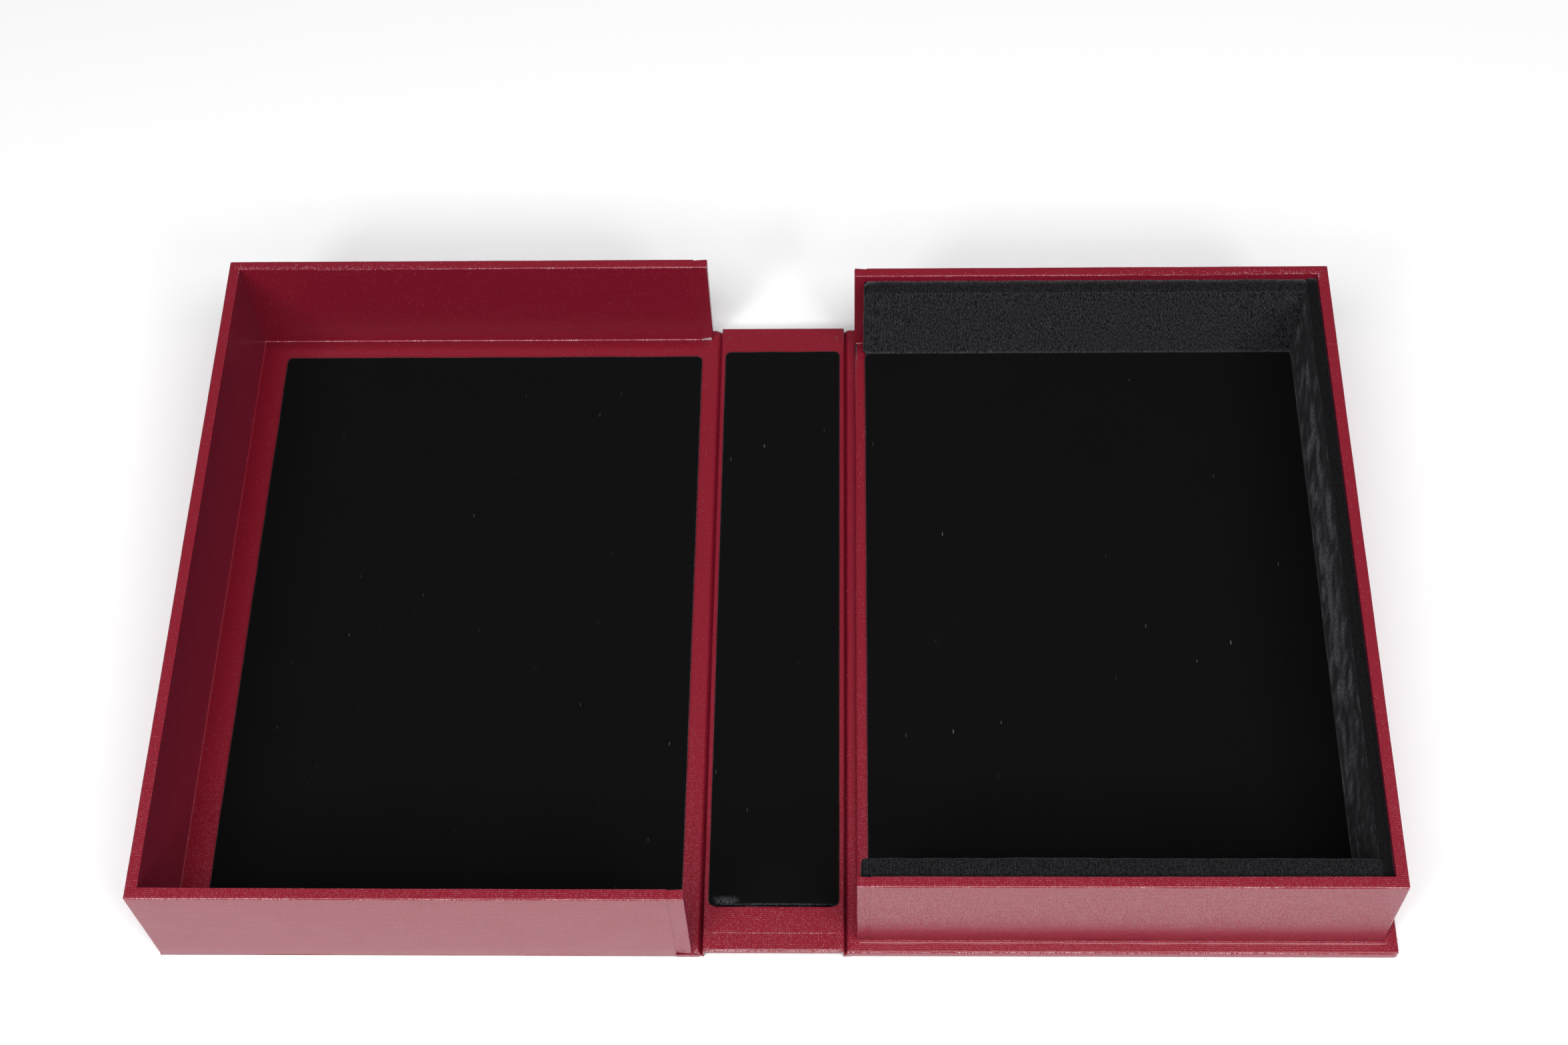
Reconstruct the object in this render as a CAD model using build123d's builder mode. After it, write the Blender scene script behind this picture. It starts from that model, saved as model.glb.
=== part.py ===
"""A drop-spine clamshell box for one book, lying fully open.

Two trays and a spine panel lie in a row along X. The small tray stands on the cover at +X, the
spine panel is in the middle, and the large tray is at -X. A cloth joint runs along Y on each side
of the spine. When the spine and the large tray are turned up and over by a quarter turn each, the
large tray comes down over the small one, and its rim meets the cover.

Lengths are in millimetres. The origin is under the middle of the open box, +Z is up, +Y is the
head and -Y is the tail.

The two sides of the box mirror each other, so every place is given by `out`, the distance from a
side's own fold line towards its fore-edge, and x_at turns that into X.
"""

import os
from dataclasses import dataclass

from build123d import *

# ---------------------------------------------------------------- space for the book
well_length = 220.7  # between the head lining and the tail lining
well_width = 163.1  # from the open spine side to the fore-edge lining
well_depth = 39.9  # from the floor velvet to the small tray's rim

# ---------------------------------------------------------------- sheet materials
book_cloth = 0.4
velvet = 0.7
wall_board = 3.1
base_board = 2.4
cover_board = 3.0
spine_board = 2.4
floor_card = 0.8
spine_card = 0.4
head_lining_board = 4.8
tail_lining_board = 6.3
fore_edge_lining_board = 3.3

# ---------------------------------------------------------------- clearances
side_gap = 0.6  # small tray to large tray at head and tail, when shut
fore_edge_gap = 0.7  # small tray to large tray at the fore-edge, when shut
lid_gap = 0.9  # small tray's rim to the large tray's floor, when shut
rim_gap = 0.3  # large tray's rim to the cover, when shut
fold_gap = 0.3  # between the folded boards at a joint
lining_gap = 0.3  # between two linings that meet

# ---------------------------------------------------------------- joints
spine_lift = 2.2  # the joint cloths hold the spine panel off the table
cover_groove = 0.8  # open width of the groove between the spine and the cover
base_groove = 1.2  # open width of the groove between the spine and the large tray's base

# ---------------------------------------------------------------- linings
head_lining_drop = 3.0  # from the small tray's rim down to the lining
tail_lining_drop = 1.5
fore_edge_lining_drop = 1.9
head_lining_setback = 3.4  # from the wall ends to the lining
tail_lining_setback = 1.4
floor_lining_setback = 3.9  # from the wall ends to either floor lining
large_lining_margin = 8.5  # cloth border of the large tray's floor at head and tail
large_lining_fore_edge_margin = 10.0
spine_lining_margin = 0.7  # cloth border along each long side of the spine
spine_lining_head_margin = 12.2
spine_lining_tail_margin = 15.3
lining_corner = 2.0  # corner radius of the floor and spine linings, seen from above
end_lining_round = 2.2  # rounded free edges of the head and tail linings
fore_edge_lining_round = 1.4

# ---------------------------------------------------------------- edges
cloth_edge = 0.35  # softness of a cloth-covered edge
cover_corner = 1.2  # corner radius of the cover at the fore-edge, seen from above

# ---------------------------------------------------------------- thicknesses with their coverings
wall = wall_board + 2 * book_cloth
head_lining = head_lining_board + velvet
tail_lining = tail_lining_board + velvet
fore_edge_lining = fore_edge_lining_board + velvet
floor_lining = floor_card + velvet
spine_lining = spine_card + velvet

# ---------------------------------------------------------------- heights above the table
cover_top = cover_board + 2 * book_cloth
spine_top = spine_lift + spine_board + 2 * book_cloth
fold_height = spine_lift + 2 * book_cloth  # of both fold lines
small_floor = cover_top + base_board + book_cloth
small_rim = small_floor + floor_lining + well_depth
large_floor = base_board + 2 * book_cloth
large_rim = small_rim + lid_gap + large_floor - cover_top - rim_gap
shut_height = cover_top + rim_gap + large_rim

# ---------------------------------------------------------------- distances out from a fold line
fold_spacing = shut_height - 2 * fold_height
wall_start = spine_top + spine_lining - fold_height + fold_gap
spine_edge_by_cover = fold_height - cover_top - fold_gap
spine_edge_by_base = fold_height - large_floor - fold_gap
cover_edge = spine_edge_by_cover + cover_groove + 2 * book_cloth
base_edge = spine_edge_by_base + base_groove + 2 * book_cloth
small_outer = wall_start + well_width + fore_edge_lining + wall
large_outer = small_outer + fore_edge_gap + wall

# ---------------------------------------------------------------- half lengths along Y
small_half = (well_length + head_lining + tail_lining) / 2 + wall
large_half = small_half + side_gap + wall


@dataclass
class Tray:
    """The measures of one three-walled tray. Its bare sizes are those inside the book cloth."""

    side: int  # +1 for the small tray, -1 for the large one
    foot: float  # underside of its base board
    floor: float  # top of its floor cloth
    rim: float
    base_start: float  # spine-side edge of its covered base
    outer: float  # outside of its fore-edge wall
    half: float  # half its length over the walls

    def __post_init__(self):
        self.board_foot = self.floor - book_cloth
        self.bare_outer = self.outer - book_cloth
        self.bare_half = self.half - book_cloth
        self.inner_outer = self.outer - wall
        self.inner_half = self.half - wall


small = Tray(1, cover_top, small_floor, small_rim, wall_start, small_outer, small_half)
large = Tray(-1, book_cloth, large_floor, large_rim, base_edge, large_outer, large_half)


# ---------------------------------------------------------------- shared shapes
def x_at(side, out):
    """The X of a point that lies `out` beyond the fold line on that side of the spine."""
    return side * (fold_spacing / 2 + out)


def inner_round(radius, covering):
    """The radius of an edge under its covering."""
    return max(radius - covering, radius / 4)


def outline(side, out, across, mode=Mode.ADD):
    """A rectangle in the open sketch, between two distances out and two values of Y."""
    with Locations((x_at(side, sum(out) / 2), sum(across) / 2)):
        Rectangle(out[1] - out[0], across[1] - across[0], mode=mode)


def slab(side, out, across, height):
    """A plain sheet between two distances out, two values of Y and two heights."""
    with BuildPart() as sheet:
        with BuildSketch(Plane.XY.offset(height[0])):
            outline(side, out, across)
        extrude(amount=height[1] - height[0])
    return sheet


def save(name, piece):
    """Labels a finished piece and writes it to its own file."""
    piece.part.label = name
    export_step(piece.part, f"parts/{name}.step")


# ---------------------------------------------------------------- cover
def cover():
    """The cover board and the book cloth all round it."""
    out = (cover_edge, large_outer)
    half = large_half
    with BuildPart() as board:
        with BuildSketch(Plane.XY.offset(book_cloth)):
            outline(1, (out[0] + book_cloth, out[1] - book_cloth), (book_cloth - half, half - book_cloth))
        extrude(amount=cover_board)
        corners = board.edges().filter_by(Axis.Z).group_by(Axis.X)[-1]
        fillet(corners, inner_round(cover_corner, book_cloth))
    with BuildPart() as cloth:
        with BuildSketch():
            outline(1, out, (-half, half))
        extrude(amount=cover_top)
        fillet(cloth.edges().filter_by(Axis.Z).group_by(Axis.X)[-1], cover_corner)
        fillet(cloth.faces().filter_by(Axis.Z).edges(), cloth_edge)
        add(board.part, mode=Mode.SUBTRACT)
    save("cover_board", board)
    save("cover_cloth", cloth)


# ---------------------------------------------------------------- spine
def spine():
    """The spine board, its outer cloth under and round it, and its inner cloth on top."""
    low = x_at(-1, spine_edge_by_base)
    high = x_at(1, spine_edge_by_cover)
    middle = (low + high) / 2
    width = high - low
    length = 2 * large_half
    bare_top = spine_top - book_cloth
    with BuildPart() as board:
        with BuildSketch(Plane.XY.offset(spine_lift + book_cloth)):
            with Locations((middle, 0)):
                Rectangle(width - 2 * book_cloth, length - 2 * book_cloth)
        extrude(amount=spine_board)
    with BuildPart() as outer_cloth:
        with BuildSketch(Plane.XY.offset(spine_lift)):
            with Locations((middle, 0)):
                Rectangle(width, length)
        extrude(amount=bare_top - spine_lift)
        fillet(outer_cloth.faces().sort_by(Axis.Z)[0].edges(), cloth_edge)
        add(board.part, mode=Mode.SUBTRACT)
    with BuildPart() as inner_cloth:
        with BuildSketch(Plane.XY.offset(bare_top)):
            with Locations((middle, 0)):
                Rectangle(width, length)
        extrude(amount=book_cloth)
        fillet(inner_cloth.faces().sort_by(Axis.Z)[-1].edges(), cloth_edge)
    save("spine_board", board)
    save("spine_outer_cloth", outer_cloth)
    save("spine_inner_cloth", inner_cloth)
    x_span = (low + spine_lining_margin, high - spine_lining_margin)
    y_span = (spine_lining_tail_margin - large_half, large_half - spine_lining_head_margin)
    flat_lining("spine", x_span, y_span, spine_top, spine_card)


# ---------------------------------------------------------------- trays
def tray_boards(name, tray):
    """The base board, and the three wall boards that stand on it."""
    bare_base = (tray.base_start + book_cloth, tray.bare_outer)
    bare_half = tray.bare_half
    base = slab(tray.side, bare_base, (-bare_half, bare_half), (tray.foot, tray.board_foot))
    height = (tray.board_foot, tray.rim - book_cloth)
    along = (wall_start + book_cloth, tray.bare_outer)
    across = (tray.bare_outer - wall_board, tray.bare_outer)
    between = bare_half - wall_board
    head = slab(tray.side, along, (between, bare_half), height)
    tail = slab(tray.side, along, (-bare_half, -between), height)
    fore_edge = slab(tray.side, across, (-between, between), height)
    save(f"{name}_base_board", base)
    save(f"{name}_head_board", head)
    save(f"{name}_tail_board", tail)
    save(f"{name}_fore_edge_board", fore_edge)


def wall_cloth(name, tray):
    """Book cloth up the outside of the walls, over the rim and the wall ends, and down inside."""
    bare_start = wall_start + book_cloth
    under_cloth = (bare_start, tray.inner_outer - book_cloth)
    inner_half = tray.inner_half
    board_half = inner_half + book_cloth
    with BuildPart() as cloth:
        with BuildSketch(Plane.XY.offset(tray.foot)):
            outline(tray.side, (wall_start, tray.outer), (-tray.half, tray.half))
        extrude(amount=tray.rim - tray.foot)
        corners = cloth.edges().filter_by(Axis.Z).sort_by(Axis.X)
        fillet(corners[-2:] if tray.side > 0 else corners[:2], cloth_edge)
        # the hollow between the walls
        with BuildSketch(Plane.XY.offset(tray.board_foot)):
            outline(tray.side, (wall_start, tray.inner_outer), (-inner_half, inner_half))
        extrude(amount=tray.rim - tray.board_foot, mode=Mode.SUBTRACT)
        fillet(cloth.faces().sort_by(Axis.Z)[-1].edges(), cloth_edge)
        # the space of the base board
        with BuildSketch(Plane.XY.offset(tray.foot)):
            outline(tray.side, (wall_start, tray.bare_outer), (-tray.bare_half, tray.bare_half))
        extrude(amount=tray.board_foot - tray.foot, mode=Mode.SUBTRACT)
        # the space of the wall boards
        with BuildSketch(Plane.XY.offset(tray.board_foot)):
            outline(tray.side, (bare_start, tray.bare_outer), (-tray.bare_half, tray.bare_half))
            outline(tray.side, under_cloth, (-board_half, board_half), mode=Mode.SUBTRACT)
        extrude(amount=tray.rim - book_cloth - tray.board_foot, mode=Mode.SUBTRACT)
    save(f"{name}_wall_cloth", cloth)


def floor_cloth(name, tray):
    """Book cloth over the floor between the walls, and down the open edge of the base board."""
    bare_edge = tray.base_start + book_cloth
    edge_height = tray.board_foot - tray.foot
    with BuildPart() as cloth:
        with BuildSketch(Plane.XY.offset(tray.board_foot)):
            outline(tray.side, (tray.base_start, tray.inner_outer), (-tray.inner_half, tray.inner_half))
        extrude(amount=book_cloth)
        with BuildSketch(Plane.XY.offset(tray.foot)):
            outline(tray.side, (tray.base_start, bare_edge), (-tray.bare_half, tray.bare_half))
        extrude(amount=edge_height)
        if tray.base_start < wall_start:
            # the lip of the base in front of the wall ends
            lip = (tray.base_start, wall_start)
            with BuildSketch(Plane.XY.offset(tray.board_foot)):
                outline(tray.side, lip, (-tray.half, tray.half))
            extrude(amount=book_cloth)
            with BuildSketch(Plane.XY.offset(tray.foot)):
                outline(tray.side, lip, (-tray.half, tray.half))
                bare_lip = (bare_edge, wall_start)
                outline(tray.side, bare_lip, (-tray.bare_half, tray.bare_half), mode=Mode.SUBTRACT)
            extrude(amount=edge_height)
    save(f"{name}_floor_cloth", cloth)


def base_cloth():
    """The covering cloth under the large tray's base board."""
    out = (base_edge, large_outer)
    save("large_tray_base_cloth", slab(large.side, out, (-large_half, large_half), (0, book_cloth)))


# ---------------------------------------------------------------- linings
def flat_lining(name, x_span, y_span, bottom, card_thickness):
    """A card with rounded corners, and the velvet over its top and edges."""
    middle = (sum(x_span) / 2, sum(y_span) / 2)
    size_x = x_span[1] - x_span[0]
    size_y = y_span[1] - y_span[0]
    card_corner = inner_round(lining_corner, velvet)
    with BuildPart() as card:
        with BuildSketch(Plane.XY.offset(bottom)):
            with Locations(middle):
                RectangleRounded(size_x - 2 * velvet, size_y - 2 * velvet, card_corner)
        extrude(amount=card_thickness)
    with BuildPart() as pile:
        with BuildSketch(Plane.XY.offset(bottom)):
            with Locations(middle):
                RectangleRounded(size_x, size_y, lining_corner)
        extrude(amount=card_thickness + velvet)
        fillet(pile.faces().sort_by(Axis.Z)[-1].edges(), velvet * 0.8)
        add(card.part, mode=Mode.SUBTRACT)
    save(f"{name}_lining_card", card)
    save(f"{name}_lining_velvet", pile)


def upright(out, across, height, radius, face_side):
    """A strip standing on the small tray's floor, with the free edges of its face rounded."""
    with BuildPart() as strip:
        with BuildSketch(Plane.XY.offset(height[0])):
            outline(small.side, out, across)
        extrude(amount=height[1] - height[0])
        face = strip.faces().sort_by(face_side)[-1]
        bottom = strip.faces().sort_by(Axis.Z)[0]
        fillet(face.edges() - bottom.edges(), radius)
    return strip


def wall_lining(name, out, across, height, radius, face_side, wrap):
    """A board strip, and the velvet over its face, top and ends. wrap holds how far the velvet
    reaches past the strip: at the spine side, the fore-edge side, the tail side and the head side."""
    bare_out = (out[0] + wrap[0], out[1] - wrap[1])
    bare_across = (across[0] + wrap[2], across[1] - wrap[3])
    bare_height = (height[0], height[1] - velvet)
    strip = upright(bare_out, bare_across, bare_height, inner_round(radius, velvet), face_side)
    pile = upright(out, across, height, radius, face_side)
    with pile:
        add(strip.part, mode=Mode.SUBTRACT)
    save(f"{name}_lining_board", strip)
    save(f"{name}_lining_velvet", pile)


def linings():
    """The floor linings of both trays, and the three wall linings of the small one."""
    inner_half = small.inner_half
    head_face = inner_half - head_lining
    tail_face = tail_lining - inner_half
    fore_edge_face = small.inner_outer - fore_edge_lining
    end = fore_edge_face - lining_gap
    round_end = end_lining_round
    wall_lining(
        "head",
        (wall_start + head_lining_setback, end),
        (head_face, inner_half),
        (small_floor, small_rim - head_lining_drop),
        round_end,
        -Axis.Y,
        (velvet, velvet, velvet, 0),
    )
    wall_lining(
        "tail",
        (wall_start + tail_lining_setback, end),
        (-inner_half, tail_face),
        (small_floor, small_rim - tail_lining_drop),
        round_end,
        Axis.Y,
        (velvet, velvet, 0, velvet),
    )
    wall_lining(
        "fore_edge",
        (fore_edge_face, small.inner_outer),
        (-inner_half, inner_half),
        (small_floor, small_rim - fore_edge_lining_drop),
        fore_edge_lining_round,
        -Axis.X,
        (velvet, 0, velvet, velvet),
    )
    start = wall_start + floor_lining_setback
    small_x = (x_at(1, start), x_at(1, end))
    small_y = (tail_face + lining_gap, head_face - lining_gap)
    flat_lining("small_tray", small_x, small_y, small_floor, floor_card)
    large_x = (x_at(-1, large.inner_outer - large_lining_fore_edge_margin), x_at(-1, start))
    large_y = large.inner_half - large_lining_margin
    flat_lining("large_tray", large_x, (-large_y, large_y), large_floor, floor_card)


# ---------------------------------------------------------------- cloth joints
def joint(name, side, spine_edge, board_edge, board_top):
    """The outer and inner cloth across the groove between the spine and the board beside it."""

    def section(points):
        with BuildPart() as strip:
            with BuildSketch(Plane.XZ.offset(-large_half)):
                with BuildLine():
                    Polyline([(x_at(side, out), z) for out, z in points], close=True)
                make_face()
            extrude(amount=2 * large_half)
        return strip

    outer_points = [
        (board_edge, 0),
        (board_edge, book_cloth),
        (spine_edge, book_cloth),
        (spine_edge, spine_lift),
        (spine_edge - book_cloth, spine_lift),
        (spine_edge - book_cloth, 0),
    ]
    inner_points = [
        (board_edge, board_top),
        (board_edge, book_cloth),
        (spine_edge, book_cloth),
        (spine_edge, spine_top),
        (spine_edge + book_cloth, spine_top),
        (spine_edge + book_cloth, 2 * book_cloth),
        (board_edge - book_cloth, 2 * book_cloth),
        (board_edge - book_cloth, board_top),
    ]
    outer_cloth = section(outer_points)
    with outer_cloth:
        lowest = outer_cloth.edges().filter_by(Axis.Y).group_by(Axis.Z)[0]
        under_spine = lowest.sort_by(lambda edge: abs(edge.center().X))[0]
        fillet(under_spine, cloth_edge)
    save(f"{name}_outer_cloth", outer_cloth)
    save(f"{name}_inner_cloth", section(inner_points))


if __name__ == "__main__":
    os.makedirs("parts", exist_ok=True)
    cover()
    spine()
    for name, tray in (("small_tray", small), ("large_tray", large)):
        tray_boards(name, tray)
        wall_cloth(name, tray)
        floor_cloth(name, tray)
    base_cloth()
    linings()
    joint("cover_joint", 1, spine_edge_by_cover, cover_edge, cover_top)
    joint("large_tray_joint", -1, spine_edge_by_base, base_edge, large_floor)
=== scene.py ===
"""The looks of a clamshell book box: book cloth over boards, velvet linings, and a white table.

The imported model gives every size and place. This script covers its boards with cloth, lines its
trays and spine with velvet, and sets the table, the lamps and the camera. Lengths are in metres.
"""

import random
from math import cos, pi, radians, sin

import bmesh
import bpy
from mathutils import Matrix, Vector, noise
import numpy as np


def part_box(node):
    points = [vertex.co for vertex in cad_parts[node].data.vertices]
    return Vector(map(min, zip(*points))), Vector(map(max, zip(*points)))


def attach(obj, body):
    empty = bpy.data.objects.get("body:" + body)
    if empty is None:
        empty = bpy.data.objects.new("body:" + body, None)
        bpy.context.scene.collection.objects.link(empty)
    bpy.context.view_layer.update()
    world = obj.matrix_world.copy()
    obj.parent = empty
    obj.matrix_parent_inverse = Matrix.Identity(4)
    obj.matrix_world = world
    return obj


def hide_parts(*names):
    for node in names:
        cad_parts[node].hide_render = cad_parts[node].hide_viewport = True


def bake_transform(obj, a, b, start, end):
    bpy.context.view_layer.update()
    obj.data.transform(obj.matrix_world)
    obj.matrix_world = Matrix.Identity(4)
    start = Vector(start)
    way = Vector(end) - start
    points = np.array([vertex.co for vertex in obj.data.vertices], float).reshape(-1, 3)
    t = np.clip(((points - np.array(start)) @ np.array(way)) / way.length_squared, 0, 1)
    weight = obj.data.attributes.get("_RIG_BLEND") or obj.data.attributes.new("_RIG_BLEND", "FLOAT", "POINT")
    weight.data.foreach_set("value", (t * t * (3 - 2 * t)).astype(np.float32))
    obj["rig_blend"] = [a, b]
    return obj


bl_info = {
    "name": "Clamshell Book Box",
    "version": (1, 0, 0),
    "blender": (4, 5, 0),
    "location": "View3D > Sidebar > Book Box",
    "description": "Covers and lines a clamshell book box, and sets the table for it",
    "category": "Object",
}

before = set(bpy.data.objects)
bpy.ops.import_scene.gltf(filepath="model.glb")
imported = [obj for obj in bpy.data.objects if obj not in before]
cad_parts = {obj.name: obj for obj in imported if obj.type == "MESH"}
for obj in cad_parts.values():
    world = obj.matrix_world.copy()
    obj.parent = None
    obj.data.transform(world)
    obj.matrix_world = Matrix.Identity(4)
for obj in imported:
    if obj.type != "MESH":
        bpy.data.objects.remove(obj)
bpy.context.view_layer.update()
MM = 0.001

# Places that several pieces share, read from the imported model.
LARGE_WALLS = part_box("large_tray_wall_cloth")
SMALL_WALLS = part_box("small_tray_wall_cloth")
LARGE_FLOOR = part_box("large_tray_floor_cloth")
SMALL_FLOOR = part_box("small_tray_floor_cloth")
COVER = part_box("cover_cloth")
SPINE = (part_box("spine_outer_cloth")[0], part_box("spine_inner_cloth")[1])
WALL = LARGE_FLOOR[0].x - LARGE_WALLS[0].x

BROAD_CELL = 9 * MM  # a broad piece of cloth is cut into cells of this size, so that it can ripple
JOINT_ROUND = 1.2 * MM  # radius of the cloth where it turns down into a joint
FLAT_BY_JOINT = (4 * MM, 10 * MM)  # cloth lies flat up to the first, and ripples fully past the second
LINING_CORNER = 2.0 * MM  # corner radius of a card's velvet, seen from above
GLUED = 0.2 * MM  # a lining's velvet doesn't ripple below this height on its foot
STEEP = radians(50)  # faces that meet at more than this make a corner


# ---------------------------------------------------------------- settings
class BOOKBOX_PG_cloth(bpy.types.PropertyGroup):
    """The book cloth and how it goes round the boards."""

    colour: bpy.props.StringProperty(
        name="Colour", description="Thread colour, as an sRGB hex value", default="#89162A"
    )
    # the threads are painted towards this colour between their crowns: painted shade in the weave's hollows
    dark: bpy.props.StringProperty(
        name="Between threads", description="Colour between the threads, as sRGB hex", default="#711021"
    )
    # the pale colour of the painted glints on thread crowns
    fleck: bpy.props.StringProperty(
        name="Fleck", description="Colour of a thread crown that is worn pale", default="#C9808C"
    )
    # the paler colour of the painted highlight on crowns along the edges, strongest where they face the tail
    # and upwards
    glinting: bpy.props.StringProperty(
        name="Rubbed edge", description="Colour of a thread crown that is rubbed bare at an edge",
        default="#EBC8D3",
    )
    warp: bpy.props.FloatProperty(
        name="Warp spacing", description="From one warp thread to the next", default=0.36 * MM,
        unit="LENGTH", precision=5,
    )
    weft: bpy.props.FloatProperty(
        name="Weft spacing", description="From one weft thread to the next", default=0.66 * MM,
        unit="LENGTH", precision=5,
    )
    relief: bpy.props.FloatProperty(
        name="Relief", description="Steepest slope of a thread's crown", default=0.22
    )
    thickness: bpy.props.FloatProperty(
        name="Thickness", description="Thickness of the cloth", default=0.36 * MM, unit="LENGTH",
        precision=5,
    )
    edge: bpy.props.FloatProperty(
        name="Edge radius", description="Radius of the cloth over a board's edge",
        default=0.8 * MM, unit="LENGTH", precision=5,
    )
    large_seam: bpy.props.FloatProperty(
        name="Large tray's seam", description="From the end of a wall to the seam round it",
        default=5.2 * MM, unit="LENGTH", precision=5,
    )
    small_seam: bpy.props.FloatProperty(
        name="Small tray's seam", description="From the end of a wall to the seam round it",
        default=4.5 * MM, unit="LENGTH", precision=5,
    )
    step: bpy.props.FloatProperty(
        name="Step", description="Height of the step at an overlap", default=0.28 * MM,
        unit="LENGTH", precision=5,
    )
    turn_up: bpy.props.FloatProperty(
        name="Turn-up", description="Height of the cloth turned up at the large tray's foot",
        default=1.9 * MM, unit="LENGTH", precision=5,
    )
    flange: bpy.props.FloatProperty(
        name="Flange", description="Width of the small tray's wall cloth turned out on to the cover",
        default=1.4 * MM, unit="LENGTH", precision=5,
    )
    turn_in: bpy.props.FloatProperty(
        name="Turn-in", description="Width of the cloth turned in at the ends of the spine",
        default=6.0 * MM, unit="LENGTH", precision=5,
    )


class BOOKBOX_PG_velvet(bpy.types.PropertyGroup):
    """The velvet linings."""

    colour: bpy.props.StringProperty(
        name="Colour", description="Pile colour, as an sRGB hex value", default="#070708"
    )
    deep: bpy.props.StringProperty(
        name="Deep colour", description="Colour of pile that leans away, as sRGB hex", default="#040405"
    )
    # this colour also paints the marked pile: fraying pile, and a painted sheen on the wall linings
    lint: bpy.props.StringProperty(
        name="Lint", description="Colour of lint and frayed pile, as an sRGB hex value", default="#8A8C94"
    )
    edge: bpy.props.FloatProperty(
        name="Edge radius", description="Radius where the velvet turns over its card",
        default=1.0 * MM, unit="LENGTH", precision=5,
    )
    round: bpy.props.FloatProperty(
        name="Wall lining radius", description="Radius of the free edges of the linings on the walls",
        default=2.6 * MM, unit="LENGTH", precision=5,
    )
    crown: bpy.props.FloatProperty(
        name="Crown", description="How far a lining swells in its middle", default=0.25 * MM,
        unit="LENGTH", precision=5,
    )


class BOOKBOX_PG_stage(bpy.types.PropertyGroup):
    """The camera and the lamps."""

    lens: bpy.props.FloatProperty(
        name="Focal length", description="Focal length on a sensor 36 mm wide, in millimetres",
        default=53.995,
    )
    place: bpy.props.FloatVectorProperty(
        name="Camera place", description="Where the camera stands", default=(0.02554, -0.403148, 0.731288),
        unit="LENGTH", precision=5,
    )
    tilt: bpy.props.FloatProperty(
        name="Tilt", description="How far the camera looks down", default=radians(58.670), unit="ROTATION"
    )
    turn: bpy.props.FloatProperty(
        name="Turn", description="How far the camera turns to the left", default=radians(3.159),
        unit="ROTATION",
    )
    roll: bpy.props.FloatProperty(
        name="Roll", description="How far the camera leans", default=radians(-2.832), unit="ROTATION"
    )


# ---------------------------------------------------------------- colours and nodes
MATHS = "ShaderNodeMath"
MIX = "ShaderNodeMix"
NOISE = "ShaderNodeTexNoise"
BUMP = "ShaderNodeBump"
PRINCIPLED = "ShaderNodeBsdfPrincipled"


def linear(hex_colour, alpha=1.0):
    """An sRGB hex value as the linear colour that Blender's sockets take."""
    values = [int(hex_colour[i : i + 2], 16) / 255 for i in (1, 3, 5)]
    values = [v / 12.92 if v <= 0.04045 else ((v + 0.055) / 1.055) ** 2.4 for v in values]
    return (*values, alpha)


def node(tree, kind, **values):
    """Adds a node with its settings and links. Each value goes to the socket of that name, with _ for a
    space, or of that number after an i, and otherwise to the node's own property. It is a plain value,
    the output that feeds the socket, or a node, for that node's first output."""
    made = tree.nodes.new(kind)
    for key, value in values.items():
        numbered = key[0] == "i" and key[1:].isdigit()
        socket = made.inputs[int(key[1:])] if numbered else made.inputs.get(key.replace("_", " "))
        if socket is None:
            setattr(made, key, value)
        elif isinstance(value, bpy.types.Node):
            tree.links.new(value.outputs[0], socket)
        elif isinstance(value, bpy.types.NodeSocket):
            tree.links.new(value, socket)
        else:
            socket.default_value = value
    return made


def new_material(name):
    """An empty node material and its tree."""
    material = bpy.data.materials.new(name)
    material.use_nodes = True
    material.node_tree.nodes.clear()
    return material, material.node_tree


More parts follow.
